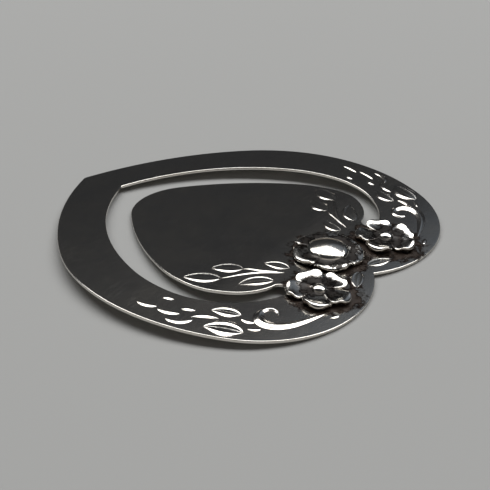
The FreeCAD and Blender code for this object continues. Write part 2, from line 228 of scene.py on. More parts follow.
def sheet_from(obj, left_sharp):
    """Fill the drawn half and its mirror image, thicken it and round all but the sharp edges."""
    bpy.ops.mesh.select_all(action="SELECT")
    bpy.ops.mesh.symmetrize(direction="POSITIVE_X", threshold=TOUCHING)
    bpy.ops.mesh.select_all(action="SELECT")
    bpy.ops.mesh.remove_doubles(threshold=TOUCHING)
    bpy.ops.mesh.fill(use_beauty=True)
    faces_outwards()
    editing(False)
    if sum(face.normal.z for face in obj.data.polygons) < 0:
        editing(True)
        bpy.ops.mesh.flip_normals()
        editing(False)
    finished(obj, "SOLIDIFY", thickness=SHEET, offset=-1)
    editing(True)
    pick(obj, lambda f: abs(f.normal.z) > 0.9, "faces")
    bpy.ops.mesh.inset(thickness=RIM_LINE)
    pick(obj, lambda e: e.calc_face_angle(0) > CORNER and not left_sharp(e), "edges")
    bpy.ops.mesh.bevel(offset=EDGE_ROUND, segments=EDGE_STEPS, affect="EDGES")
    pick(obj, left_sharp, "edges")
    bpy.ops.mesh.mark_sharp()
    for axis, reach in ((1, int(MIDDLE)), (0, int(HALF_WIDTH))):
        for cut in range(-reach, reach + 1):
            place, normal = [0, 0, 0], [0, 0, 0]
            place[axis], normal[axis] = cut + STRIP_OFFSET, 1
            bpy.ops.mesh.select_all(action="SELECT")
            bpy.ops.mesh.bisect(plane_co=place, plane_no=normal)
    editing(False)
    return obj


def bowed(obj):
    """Bend what was modelled flat about the axis of the sheet's bow, and lift it to its place."""
    # The guide's X runs along the clip, its Y up and its Z across: the line it bends about.
    guide = bpy.data.objects.new("bow", None)
    scene.collection.objects.link(guide)
    guide.matrix_world = Matrix(((0, 0, 1, 0), (1, 0, 0, 0), (0, 1, 0, 0), (0, 0, 0, 1)))
    ys = [v.co.y for v in obj.data.vertices]
    finished(obj, "SIMPLE_DEFORM", deform_method="BEND", origin=guide, deform_axis="Z",
             angle=-(max(ys) - min(ys)) / TOP_R)
    bpy.data.objects.remove(guide)
    only(obj)
    bpy.ops.transform.translate(value=(0, 0, BOW + SHEET))
    bpy.ops.object.transform_apply()
    return obj


def heights(obj):
    levels = [v.co.z for v in obj.data.vertices]
    return round(min(levels), 3), round(max(levels), 3)


print("the bow lifts mid length by", BOW, "mm")


# %% [markdown]
# ## The heart frame
# The outer outline is the lobe's arc from the notch, the side's arc, and the long arc up to
# the tip. The slot is drawn as a second outline inside it: along the tongue's root, round the
# end of the slot, and up its outer side. Filled together, the second outline becomes a hole.

# %% Outer outline
ring = point_at("heart_frame_sheet",
                on_circle(LOBE_CENTRE, LOBE_R, angle_at(LOBE_CENTRE, LOBE_R, 0)))
spun([(LOBE_CENTRE, SIDE_FROM - angle_at(LOBE_CENTRE, LOBE_R, 0), 48),
      (SIDE_CENTRE, SIDE_TO - SIDE_FROM, 56)]
     + heart_arcs(SIDE_CENTRE, SIDE_R, SIDE_TO, MIDDLE, TIP_ROUND))
editing(False)
print("outer outline has", len(ring.data.vertices), "points in its right half")

# %% Slot outline
RIM_WIDTH, TIP_WIDTH, SLOT_GAP = 6.15, 7.1, 2.8
SLOT_WIDEST, TONGUE_WIDEST = 19.2 - MIDDLE, 17.5 - MIDDLE
SLOT_HALF_WIDTH = HALF_WIDTH - RIM_WIDTH
SLOT_TIP = LENGTH - TIP_WIDTH - MIDDLE
SLOT_END_X = 10.4
SLOT_SIDE_R, SLOT_SIDE_TO, SLOT_LOBE_R = 17.6, math.radians(20.6), 11.5
SLOT_SIDE = Vector((SLOT_HALF_WIDTH - SLOT_SIDE_R, SLOT_WIDEST, 0))
SLOT_LOBE = Vector((SLOT_HALF_WIDTH - SLOT_LOBE_R, SLOT_WIDEST, 0))
TONGUE_HALF_WIDTH = SLOT_HALF_WIDTH - SLOT_GAP
TONGUE_LOBE_R = 7.4
TONGUE_LOBE = Vector((TONGUE_HALF_WIDTH - TONGUE_LOBE_R, TONGUE_WIDEST, 0))
ROOT_Y = 14.3 - MIDDLE
ROOT_TURN = math.asin((ROOT_Y - TONGUE_LOBE.y) / TONGUE_LOBE_R)
ROOT_X = on_circle(TONGUE_LOBE, TONGUE_LOBE_R, ROOT_TURN).x
inner_turn = angle_at(TONGUE_LOBE, TONGUE_LOBE_R, SLOT_END_X)
outer_turn = angle_at(SLOT_LOBE, SLOT_LOBE_R, SLOT_END_X)
slot_end = (on_circle(SLOT_LOBE, SLOT_LOBE_R, outer_turn)
            + on_circle(TONGUE_LOBE, TONGUE_LOBE_R, inner_turn)) / 2
hole = point_at("slot", (0, ROOT_Y, 0))
bpy.ops.mesh.extrude_region_move(TRANSFORM_OT_translate={"value": (ROOT_X, 0, 0)})
spun([(TONGUE_LOBE, inner_turn - ROOT_TURN, 12),
      (slot_end, math.pi, 12),
      (SLOT_LOBE, -outer_turn, 40),
      (SLOT_SIDE, SLOT_SIDE_TO, 30)]
     + heart_arcs(SLOT_SIDE, SLOT_SIDE_R, SLOT_SIDE_TO, SLOT_TIP, TIP_ROUND))
editing(False)
print("the root of the tongue is", round(2 * ROOT_X, 2), "mm wide")

# %% Frame sheet
def on_root(edge):
    """Whether an edge lies on the straight root, where the frame and the tongue meet."""
    return all(abs(v.co.y - ROOT_Y) < 0.01 and abs(v.co.x) < ROOT_X + 0.01 for v in edge.verts)


only(ring, hole)
bpy.ops.object.join()
editing(True)
sheet_from(ring, on_root)
bowed(ring)
print("frame has", len(ring.data.polygons), "faces and lies between", heights(ring), "mm")

# %% [markdown]
# ## The tongue
# The tongue leaves the sheet along a straight root and dips a little below it, so that a page
# slid under it is pressed against the frame. It is modelled flat, then bent over a short
# stretch in small equal turns: the strip where its springing is gathered.

# %% The tongue's side profile
FLEX_LENGTH = 1.2
FLEX_STEPS = 6
FLEX_ROWS = [ROOT_Y + (step + 0.5) * FLEX_LENGTH / FLEX_STEPS for step in range(FLEX_STEPS)]
ROOT_SLOPE = math.asin(-ROOT_Y / TOP_R)
ROOT_Z = BOW - UNDER_R + math.sqrt(TOP_R**2 - ROOT_Y**2)
TONGUE_DIP = math.radians(2.2)


def set_on_tongue(obj):
    """Give what was modelled flat the slope of the root, the bend and the dip of the tongue."""
    editing(True)
    for row in FLEX_ROWS:
        bpy.ops.mesh.select_all(action="SELECT")
        bpy.ops.mesh.bisect(plane_co=(0, row, 0), plane_no=(0, 1, 0))
    for row in FLEX_ROWS:
        if pick(obj, lambda v: v.co.y > row + 0.001):
            turned(-(ROOT_SLOPE + TONGUE_DIP) / FLEX_STEPS, "X", (0, row, 0))
    bpy.ops.mesh.select_all(action="SELECT")
    turned(ROOT_SLOPE, "X", (0, ROOT_Y, 0))
    bpy.ops.transform.translate(value=(0, 0, ROOT_Z))
    editing(False)
    return obj


print("at the root the sheet slopes", round(math.degrees(ROOT_SLOPE), 2), "degrees")

# %% Tongue sheet
TONGUE_SIDE_R, TONGUE_SIDE_TO = 15.6, math.radians(24.4)
TONGUE_SIDE = Vector((TONGUE_HALF_WIDTH - TONGUE_SIDE_R, TONGUE_WIDEST, 0))
TIP_GAP, TONGUE_TIP_R = 4.2, 7.5
tongue = point_at("tongue_sheet", (0, ROOT_Y, 0))
bpy.ops.mesh.extrude_region_move(TRANSFORM_OT_translate={"value": (ROOT_X, 0, 0)})
spun([(TONGUE_LOBE, -ROOT_TURN, 24), (TONGUE_SIDE, TONGUE_SIDE_TO, 30)]
     + heart_arcs(TONGUE_SIDE, TONGUE_SIDE_R, TONGUE_SIDE_TO, SLOT_TIP - TIP_GAP, TONGUE_TIP_R))
sheet_from(tongue, on_root)
set_on_tongue(tongue)
TONGUE_SLOPE = -math.tan(TONGUE_DIP)
TONGUE_LEVEL = max(v.co.z - TONGUE_SLOPE * v.co.y for v in tongue.data.vertices)
print("tongue has", len(tongue.data.polygons), "faces and lies between", heights(tongue), "mm")
print("its top is", round(TONGUE_LEVEL, 4), "mm high at mid length")

# %% [markdown]
# ## Ridges struck up from the sheet
# The leaves, crescents, stems and scrolls are low ridges. On the real clip each is chased
# from the front: a leaf keeps a raised rim round a hollowed blade with a faint vein, and the
# rest are plain rounded ridges. What the eye gets from them is a bright line wherever a slope
# leans about 15 degrees towards it, and dark metal beside it, so the sections below are low.
# The last row runs just under the sheet, and the foot of the ridge flares into it.

# %% Sections across and tapers along
LEAF_SECTION = ((0, 0.72), (0.12, 0.6), (0.4, 0.56), (0.6, 0.64), (0.76, 0.98), (0.85, 0.9),
                (1.0, 0.3), (1.14, -0.15))
BROAD_SECTION = ((0, 0.66), (0.12, 0.54), (0.34, 0.5), (0.5, 0.68), (0.64, 0.97), (0.8, 0.84),
                 (1.0, 0.35), (1.16, -0.1))
RIDGE_SECTION = ((0, 1.0), (0.25, 0.92), (0.62, 0.5), (0.94, 0.1), (1.2, -0.08))


def tapered(columns, fullest, power):
    """Shares of the full width and height from one end of a ridge to the other. The ends keep
    a few hundredths, so that no face closes up."""
    skew = math.log(0.5) / math.log(fullest)
    ends = []
    for column in range(columns + 1):
        share = math.sin(math.pi * (column / columns) ** skew) if 0 < column < columns else 0
        ends.append((share**power + 0.02, share ** (power * 0.8) + 0.04))
    return ends


SCROLL_TAPER = ((0.2, 0.3), (0.34, 0.5), (0.4, 0.62), (0.44, 0.7), (0.5, 0.78), (0.62, 0.88),
                (0.8, 0.96), (0.96, 1.0), (1.0, 1.0), (0.96, 1.0), (0.9, 0.96), (0.84, 0.92),
                (0.78, 0.88), (0.72, 0.84), (0.66, 0.8), (0.6, 0.74), (0.54, 0.68), (0.46, 0.6),
                (0.38, 0.5), (0.28, 0.4), (0.06, 0.08))
print("a leaf's section has", 2 * len(LEAF_SECTION) - 1, "points across")

# %% [markdown]
# Each kind of ridge is one blank, one unit long and one wide, shaped from a flat grid: its
# rows are moved to the section across the ridge, and its columns are narrowed and lowered
# towards the ends. Every ridge on the clip is a copy of a blank laid along its own line.

# %% Blanks
SKIRT = 0.3


def ridge_blank(name, section, ends):
    rows, columns = len(section) - 1, len(ends) - 1
    bpy.ops.object.select_all(action="DESELECT")
    bpy.ops.mesh.primitive_grid_add(x_subdivisions=columns, y_subdivisions=2 * rows, size=1)
    blank = named(name)
    editing(True)
    for row in sorted(range(-rows, rows + 1), key=abs, reverse=True):
        across, height = section[abs(row)]
        start = row / (2 * rows)
        pick(blank, lambda v: abs(v.co.y - start) < TOUCHING and v.co.z == 0)
        # A hair more than its height, so that a row that is done is never chosen again.
        bpy.ops.transform.translate(
            value=(0, math.copysign(across / 2, row) - start, height + 1e-5))
    for column, (width, height) in enumerate(ends):
        place = column / columns - 0.5
        pick(blank, lambda v: abs(v.co.x - place) < TOUCHING)
        bpy.ops.transform.resize(value=(1, width, height), center_override=(place, 0, 0))
    editing(False)
    finished(blank, "SUBSURF", levels=2, render_levels=2)
    editing(True)
    pick(blank, lambda e: e.is_boundary, "edges")
    bpy.ops.mesh.extrude_region_move(TRANSFORM_OT_translate={"value": (0, 0, -SKIRT)})
    bpy.ops.mesh.edge_face_add()
    faces_outwards()
    editing(False)
    return blank


LEAF_TAPER = tapered(12, fullest=0.44, power=0.8)
leaf_blank = ridge_blank("leaf_blank", LEAF_SECTION, LEAF_TAPER)
broad_blank = ridge_blank("broad_leaf_blank", BROAD_SECTION, LEAF_TAPER)
crescent_blank = ridge_blank("crescent_blank", RIDGE_SECTION,
                             tapered(12, fullest=0.46, power=0.7))
scroll_blank = ridge_blank("scroll_blank", RIDGE_SECTION, SCROLL_TAPER)
for blank in (leaf_blank, broad_blank, crescent_blank, scroll_blank):
    print(blank.name, "has", len(blank.data.polygons), "faces")


# %% Laying a ridge along its line
def laid(blank, points, width, rise):
    """A copy of the blank along a smooth line near the points; rise is its height to width."""
    copy = copy_of(blank, "ridge")
    bpy.ops.transform.resize(value=(1, width, width * rise), center_override=(0, 0, 0))
    bpy.ops.object.transform_apply()
    curve = bpy.data.curves.new("line", "CURVE")
    curve.dimensions = "3D"
    curve.twist_mode = "Z_UP"
    curve.resolution_u = 24
    curve.use_stretch = curve.use_deform_bounds = True
    spline = curve.splines.new("NURBS")
    spline.points.add(len(points) - 1)
    for point, (x, y) in zip(spline.points, points):
        point.co = (x, y - MIDDLE, 0, 1)
    spline.order_u = 3
    spline.use_endpoint_u = True
    line = bpy.data.objects.new("line", curve)
    scene.collection.objects.link(line)
    finished(copy, "CURVE", object=line, deform_axis="POS_X")
    bpy.data.objects.remove(line)
    return copy


def joined(name, pieces):
    only(*pieces)
    if len(pieces) > 1:
        bpy.ops.object.join()
    obj = bpy.context.object
    obj.name = obj.data.name = name
    return obj


def inwards(points, half_width):
    """Points measured inwards from the sheet's side, as they were read off the photograph."""
    return [(half_width - x, y) for x, y in points]


print("ridges are laid along curves of", len(SCROLL_TAPER) - 1, "steps or fewer")

# %% [markdown]
# ## The sprays
# Places are in the plan's own y, from the lobes' lowest points, and in x from the side of the
# sheet inwards. A spray runs up each side of the frame: two leaves next to the scroll, then
# crescents that get smaller towards the tip. The frame's leaves are bolder than the tongue's:
# their raised rims are broad bands.

# %% Spray on the frame
LEAF_RISE, BROAD_RISE, RIDGE_RISE = 0.058, 0.07, 0.17
FRAME_LEAVES = (
    (((4.7, 7.6), (4.3, 9.9), (2.9, 11.7)), 2.65),
    (((7.2, 9.7), (7.0, 11.5), (5.9, 12.9)), 1.8),
)
FRAME_CRESCENTS = (
    (((2.8, 18.1), (2.1, 19.1), (2.2, 20.5)), 0.55),
    (((3.2, 15.2), (2.4, 16.3), (2.4, 17.7)), 0.6),
    (((3.2, 13.3), (1.4, 13.9), (1.5, 15.8)), 0.7),
    (((5.1, 11.2), (4.8, 13.0), (3.4, 13.8)), 0.7),
    (((4.7, 14.1), (4.6, 15.0), (4.0, 15.6)), 0.6),
    (((5.0, 17.4), (5.0, 18.2), (4.5, 18.7)), 0.5),
    (((7.0, 7.7), (6.4, 8.6), (6.7, 9.4)), 0.6),
    (((6.5, 6.5), (5.8, 6.9), (5.5, 7.7)), 0.5),
    (((14.6, 1.4), (13.9, 1.5), (13.2, 1.9)), 0.5),
)
spray = [laid(broad_blank, inwards(points, HALF_WIDTH), width, BROAD_RISE)
         for points, width in FRAME_LEAVES]
spray += [laid(crescent_blank, inwards(points, HALF_WIDTH), width, RIDGE_RISE)
          for points, width in FRAME_CRESCENTS]
frame_spray = bowed(joined("right_frame_spray", spray))
print(frame_spray.name, "has", len(frame_spray.data.polygons), "faces")

# %% Scroll
SCROLL_LINE = ((9.9, 6.6), (10.5, 6.9), (10.5, 7.9), (9.4, 8.5), (8.1, 8.1), (7.5, 7.2),
               (7.6, 6.2), (8.3, 5.2), (9.4, 4.35), (11.0, 3.65), (12.4, 3.15), (13.5, 2.75))
SCROLL_WIDTH = 1.45
scroll = bowed(joined("right_scroll_ridge", [
    laid(scroll_blank, inwards(SCROLL_LINE, HALF_WIDTH), SCROLL_WIDTH, RIDGE_RISE)]))
print(scroll.name, "is", round(scroll.dimensions.x, 1), "mm wide")

# %% Leaves at the neck and the notch
NECK_LEAVES = (
    (((6.45, 10.9), (5.4, 12.9), (3.05, 13.6)), 1.8),
    (((9.85, 11.0), (9.9, 12.6), (8.85, 14.0)), 1.6),
)
NOTCH_LEAF, NOTCH_LEAF_WIDTH = ((0.9, 4.2), (2.4, 3.9), (4.2, 2.7)), 1.5
neck_spray = bowed(joined("right_neck_spray", [
    laid(leaf_blank, inwards(points, TONGUE_HALF_WIDTH), width, LEAF_RISE)
    for points, width in NECK_LEAVES]))
notch_spray = bowed(joined("right_notch_spray", [
    laid(leaf_blank, NOTCH_LEAF, NOTCH_LEAF_WIDTH, LEAF_RISE)]))
print("neck and notch leaves", len(neck_spray.data.polygons), len(notch_spray.data.polygons))

# %% Spray on the tongue
TONGUE_LEAVES = (
    (((3.0, 16.1), (2.2, 18.4), (0.95, 20.1)), 2.2),
    (((6.3, 15.2), (5.8, 17.2), (4.4, 18.6)), 2.1),
)
TONGUE_STEMS = (
    ((8.7, 10.9), (7.6, 12.6), (5.9, 14.2), (4.2, 15.3), (2.9, 16.3)),
    ((8.4, 11.6), (7.3, 13.3), (6.8, 14.7), (6.2, 15.4)),
)
STEM_WIDTH = 0.42
spray = [laid(leaf_blank, inwards(points, TONGUE_HALF_WIDTH), width, LEAF_RISE)
         for points, width in TONGUE_LEAVES]
spray += [laid(crescent_blank, inwards(points, TONGUE_HALF_WIDTH), STEM_WIDTH, RIDGE_RISE)
          for points in TONGUE_STEMS]
tongue_spray = set_on_tongue(joined("right_tongue_spray", spray))
print(tongue_spray.name, "has", len(tongue_spray.data.polygons), "faces")
for blank in (leaf_blank, broad_blank, crescent_blank, scroll_blank):
    bpy.data.objects.remove(blank)

# %% [markdown]
# ## Petals
# The petals are struck up over a domed punch, then their rims are turned down: a shallow cup
# that is nearly level inside, climbs to a crest and rolls over at the rim. One petal is
# modelled from a flat grid: its rows make the cup across, its columns the climb outwards and
# the round end. Its edge is then drawn down and in, which gives the dark underside, and
# subdivision rounds it all.

# %% One cupped petal
CUP = ((0, 0.9), (0.35, 0.92), (0.66, 0.98), (0.86, 1.0), (0.97, 0.9), (1.0, 0.72))
ROUND_END = 4
UNDERSIDE = ((0.16, 0.97), (0.14, 0.88), (0.3, 0.95))
PETAL_FOOT = -0.12


def petal(name, columns, hollow, bend):
    """columns: distance out, half width and height; hollow: how far the middle is pressed in;
    bend: how much the end, its last few columns, is rounded."""
    rows, count = len(CUP) - 1, len(columns) - 1
    bpy.ops.object.select_all(action="DESELECT")
    bpy.ops.mesh.primitive_grid_add(x_subdivisions=count, y_subdivisions=2 * rows, size=1)
    obj = named(name)
    editing(True)
    for row in sorted(range(-rows, rows + 1), key=abs, reverse=True):
        across, height = CUP[abs(row)]
        start = row / (2 * rows)
        pick(obj, lambda v: abs(v.co.y - start) < TOUCHING and v.co.z == 0)
        lift = 1 - (1 - height) * (hollow if abs(row) < rows - 1 else 1)
        bpy.ops.transform.translate(value=(0, math.copysign(across, row) - start, lift))
    for column in reversed(range(count + 1)):
        out, half_width, height = columns[column]
        place = column / count - 0.5
        pick(obj, lambda v: abs(v.co.x - place) < TOUCHING)
        bpy.ops.transform.resize(value=(1, half_width, height), center_override=(place, 0, 0))
        bpy.ops.transform.translate(value=(out - place, 0, 0))
    for row in range(1, rows + 1):
        across = CUP[row][0]
        pick(obj, lambda v: any(abs(v.co.x - out) < TOUCHING
                                and abs(abs(v.co.y) - across * half_width) < TOUCHING
                                for out, half_width, height in columns[-ROUND_END:]))
        drawn_in = bend * (across * columns[-1][1]) ** 2
        bpy.ops.transform.translate(value=(-drawn_in, 0, 0))
    middle = (columns[0][0] + columns[-1][0]) / 2
    pick(obj, lambda e: e.is_boundary, "edges")
    for drop, shrink in UNDERSIDE:
        bpy.ops.mesh.extrude_region_move(TRANSFORM_OT_translate={"value": (0, 0, -drop)})
        bpy.ops.transform.resize(value=(shrink, shrink, 1), center_override=(middle, 0, 0))
    bpy.ops.transform.resize(value=(1, 1, 0), center_override=(0, 0, PETAL_FOOT))
    bpy.ops.mesh.edge_face_add()
    faces_outwards()
    editing(False)
    finished(obj, "SUBSURF", levels=2, render_levels=2)
    return obj


print("a petal's cup has", 2 * len(CUP) - 1, "points across")


# %% A whorl of petals
FOOT = (0, 0, 0.3)


def whorl(name, one, turn, lean, hand):
    """Copies of one petal about the middle; hand gives each its own small turn and size."""
    petals = []
    for index, (nudge, size) in enumerate(hand):
        copy = copy_of(one, "petal")
        editing(True)
        bpy.ops.mesh.select_all(action="SELECT")
        turned(lean, "X", FOOT)
        bpy.ops.transform.resize(value=(size, 2 - size, 1), center_override=(0, 0, 0))
        turned(turn + math.radians(nudge) + index * math.tau / len(hand), "Z", (0, 0, 0))
        editing(False)
        petals.append(copy)
    bpy.data.objects.remove(one)
    return joined(name, petals)


def moved(obj, x, y):
    only(obj)
    bpy.ops.transform.translate(value=(x, y - MIDDLE, 0))
    bpy.ops.object.transform_apply()
    return obj


print("a whorl turns by", 360 / 5, "degrees from petal to petal")

# %% [markdown]
# ## The rose
# Five broad petals lie nearly level round a folded bud. The bud is a low dome turned about
# its middle; three thin shells cut from a slightly larger copy of it lie over it as the
# folded inner petals, and their lips break its one broad highlight.

# %% Rose petals
ROSE_Y = 9.3
ROSE_COLUMNS = ((1.6, 1.3, 0.74), (2.2, 1.75, 0.74), (2.8, 2.15, 0.74), (3.3, 2.35, 0.75),
                (3.66, 2.33, 0.76), (3.98, 2.12, 0.73), (4.28, 1.82, 0.64), (4.48, 1.54, 0.52),
                (4.57, 1.38, 0.38))
rose_petals = whorl(
    "rose_petals_cupped", petal("rose_petal", ROSE_COLUMNS, hollow=1.1, bend=0.24),
    turn=math.radians(6), lean=math.radians(3),
    hand=((1, 1), (-2, 0.985), (2, 1.0), (0, 0.98), (-1, 0.99)))
bowed(moved(rose_petals, 0, ROSE_Y))
print("rose petals lie between", heights(rose_petals), "mm")


# %% Turned domes
def lathed(name, profile, steps):
    """A dome: its profile drawn from the middle outwards and spun about the middle."""
    obj = point_at(name, (0, 0, profile[0][1]))
    for (r0, z0), (r1, z1) in zip(profile, profile[1:]):
        bpy.ops.mesh.extrude_region_move(TRANSFORM_OT_translate={"value": (r1 - r0, 0, z1 - z0)})
    bpy.ops.mesh.select_all(action="SELECT")
    bpy.ops.mesh.spin(steps=steps, angle=math.tau, center=(0, 0, 0), axis=(0, 0, 1))
    bpy.ops.mesh.select_all(action="SELECT")
    bpy.ops.mesh.remove_doubles(threshold=1e-3)
    pick(obj, lambda e: e.is_boundary, "edges")
    bpy.ops.mesh.edge_face_add()
    faces_outwards()
    editing(False)
    return obj


BUD_PROFILE = ((0, 1.5), (0.35, 1.49), (0.8, 1.43), (1.3, 1.33), (1.8, 1.19), (2.2, 1.03),
               (2.46, 0.84), (2.62, 0.58), (2.7, 0.2))
bud = finished(lathed("rose_bud_folded", BUD_PROFILE, 24), "SUBSURF", levels=1, render_levels=1)
print("bud is", round(bud.dimensions.x, 2), "mm across")

# %% Folds of the bud
FOLDS = ((40, 1.1), (150, 1.6), (300, 1.45))
FOLD_TILT, FOLD_GROWTH = -0.25, (1.03, 1.03, 1.07)
FOLD_THICKNESS, FOLD_CORNER, FOLD_ROUND = 0.09, 0.8, 0.03
folds = [bud]
for angle, out in FOLDS:
    shell = copy_of(bud, "fold")
    away = Vector((math.cos(math.radians(angle)), math.sin(math.radians(angle)), FOLD_TILT))
    editing(True)
    bpy.ops.mesh.select_all(action="SELECT")
    bpy.ops.transform.resize(value=FOLD_GROWTH, center_override=FOOT)
    bpy.ops.mesh.bisect(plane_co=away * out, plane_no=away, clear_inner=True, use_fill=False)
    editing(False)
    finished(shell, "SOLIDIFY", thickness=FOLD_THICKNESS, offset=-1)
    editing(True)
    pick(shell, lambda e: e.calc_face_angle(0) > FOLD_CORNER, "edges")
    bpy.ops.mesh.bevel(offset=FOLD_ROUND, segments=2, affect="EDGES")
    editing(False)
    folds.append(shell)
bud = bowed(moved(joined("rose_bud_folded", folds), 0, ROSE_Y))
print("bud with", len(FOLDS), "folds lies between", heights(bud), "mm")

# %% [markdown]
# ## The blossoms
# Five round petals that touch for most of their length, so that the outline is scalloped,
# and a small boss in the hollow where they meet.

# %% Blossom petals
BLOSSOM_X, BLOSSOM_Y = 7.9, 5.6
BLOSSOM_COLUMNS = ((0.4, 0.4, 0.55), (0.95, 0.8, 0.55), (1.6, 1.3, 0.55), (2.2, 1.68, 0.56),
                   (2.7, 1.78, 0.61), (3.1, 1.66, 0.75), (3.4, 1.46, 0.86), (3.66, 1.2, 0.83),
                   (3.9, 0.92, 0.7), (4.06, 0.68, 0.48))
blossom = whorl(
    "right_blossom_cupped", petal("petal", BLOSSOM_COLUMNS, hollow=1.1, bend=0.42),
    turn=math.radians(48), lean=math.radians(4),
    hand=((0, 1), (3, 0.98), (-2, 1.0), (2, 0.985), (-3, 0.99)))
bowed(moved(blossom, BLOSSOM_X, BLOSSOM_Y))
print("blossom has", len(blossom.data.polygons), "faces")

# %% Boss
BOSS_PROFILE = ((0, 0.98), (0.25, 0.96), (0.5, 0.88), (0.74, 0.76), (0.92, 0.58), (1.0, 0.4),
                (1.02, 0.2))
boss = finished(lathed("right_boss", BOSS_PROFILE, 16), "SUBSURF", levels=2, render_levels=2)
bowed(moved(boss, BLOSSOM_X, BLOSSOM_Y))
print("boss lies between", heights(boss), "mm")


# %% [markdown]
# ## The left half
# The left ornaments are the right ones mirrored, each with a mesh of its own and its faces
# still outwards.

# %% Mirrored pieces
def mirror_of(obj, name):
    copy = copy_of(obj, name)
    editing(True)
    bpy.ops.mesh.select_all(action="SELECT")
    bpy.ops.transform.resize(value=(-1, 1, 1), center_override=(0, 0, 0))
    bpy.ops.mesh.flip_normals()
    editing(False)
    return copy


pairs = {"blossom_petals": blossom, "blossom_centre": boss, "scroll": scroll,
         "frame_leaves": frame_spray, "notch_leaf": notch_spray, "neck_leaves": neck_spray,
         "tongue_leaves": tongue_spray}
dressed = {"heart_frame": ring, "rose_petals": rose_petals, "rose_bud": bud}
for node, obj in pairs.items():
    dressed["right_" + node] = obj
    dressed["left_" + node] = mirror_of(obj, obj.name.replace("right_", "left_"))
print(len(dressed), "pieces and the tongue")

# %% [markdown]
# The ornaments are shaded smooth except over real creases. On the sheets the shading follows
# the large flat faces, so that the rounding stays at the edge, and the root's edges stay sharp,
# so that the frame and the tongue meet there without a line. Then all shrink to metres.

# %% Smooth shading and true size
CREASE = math.radians(40)
TO_METRES = (0.001, 0.001, 0.001)
for obj in [*dressed.values(), tongue]:
    only(obj)
    if obj in (ring, tongue):
        bpy.ops.object.shade_smooth()
        finished(obj, "WEIGHTED_NORMAL", keep_sharp=True)
    else:
        bpy.ops.object.shade_smooth_by_angle(angle=CREASE)
    bpy.ops.transform.resize(value=TO_METRES, center_override=(0, 0, 0))
    bpy.ops.object.transform_apply()
print("faces in all", sum(len(obj.data.polygons) for obj in [*dressed.values(), tongue]))

# %% [markdown]
# ## Silver
# Everything is one metal, polished by hand: bright, slightly warm, with fine scratches in all
# directions and brown tarnish left where a cloth can't reach, in the hollows and round the
# foot of the flowers. On the petals the darkening inside the cups and underneath is partly
# that tarnish and partly painted shade. Silver is drawn as a metal whose colour is its
# reflection. What changes from place to place comes from noise and from where a point lies on
# the clip, in millimetres.

# %% Colours and nodes
def linear(hex_code):
    """An sRGB hex colour as the linear numbers that a shader takes."""
    channels = [int(hex_code[i:i + 2], 16) / 255 for i in (1, 3, 5)]
    return (*(c / 12.92 if c <= 0.04045 else ((c + 0.055) / 1.055) ** 2.4 for c in channels), 1)


def add(tree, kind, inputs=None, **settings):
    """Add a node with its settings; an input is a value, another node or one of its outputs."""
    node = tree.nodes.new(kind)
    for key, value in settings.items():
        setattr(node, key, value)
    for key, value in (inputs or {}).items():
        if isinstance(value, bpy.types.Node):
            value = value.outputs[0]
        if isinstance(value, bpy.types.NodeSocket):
            tree.links.new(value, node.inputs[key])
        else:
            node.inputs[key].default_value = value
    return node


BRIGHT_SILVER, WARM_FILM, PAPER = "#EFEDE9", "#D9D2C6", "#AAAAA8"
print("bright silver in linear numbers", [round(c, 3) for c in linear(BRIGHT_SILVER)])


# %% [markdown]
# Tarnish gathers low down. Its mask is full where a point is hardly above the sheet's top and
# within ragged rings round the flowers, where polish and grime have dried. On the petals the
# same mask also paints shade: it darkens their undersides and the insides of their cups. The
# sheet's top is a parabola in y for the bow and a slope for the tongue; the lower of the two is
# the top. The noise moves the rings' edges in and out, and blotches of cleaner metal break them
# up.

# %% Where the tarnish is
SHEET_TOP = (BOW + SHEET, 0, -1 / (2 * TOP_R))
TONGUE_TOP = (TONGUE_LEVEL, TONGUE_SLOPE, 0)


def height_above_sheet(tree, mm):
    """Millimetres above the top of the sheet, bowed part or tongue."""
    split = add(tree, "ShaderNodeSeparateXYZ", {0: mm})
    y, z = split.outputs[1], split.outputs[2]
    levels = []
    for level, slope, curve in (SHEET_TOP, TONGUE_TOP):
        rise = add(tree, "ShaderNodeMath", {0: y, 1: curve, 2: slope}, operation="MULTIPLY_ADD")
        levels.append(add(tree, "ShaderNodeMath", {0: rise, 1: y, 2: level},
                          operation="MULTIPLY_ADD"))
    top = add(tree, "ShaderNodeMath", {0: levels[0], 1: levels[1]}, operation="MINIMUM")
    return add(tree, "ShaderNodeMath", {0: z, 1: top}, operation="SUBTRACT")


RAGGED_BY = 4.4
BLOTCHES_PER_MM, BLOTCH_FROM, BLOTCH_TO = 0.55, 0.36, 0.56
CLEANEST_BLOTCH, FULL_AT_FOOT = 0.15, 0.9


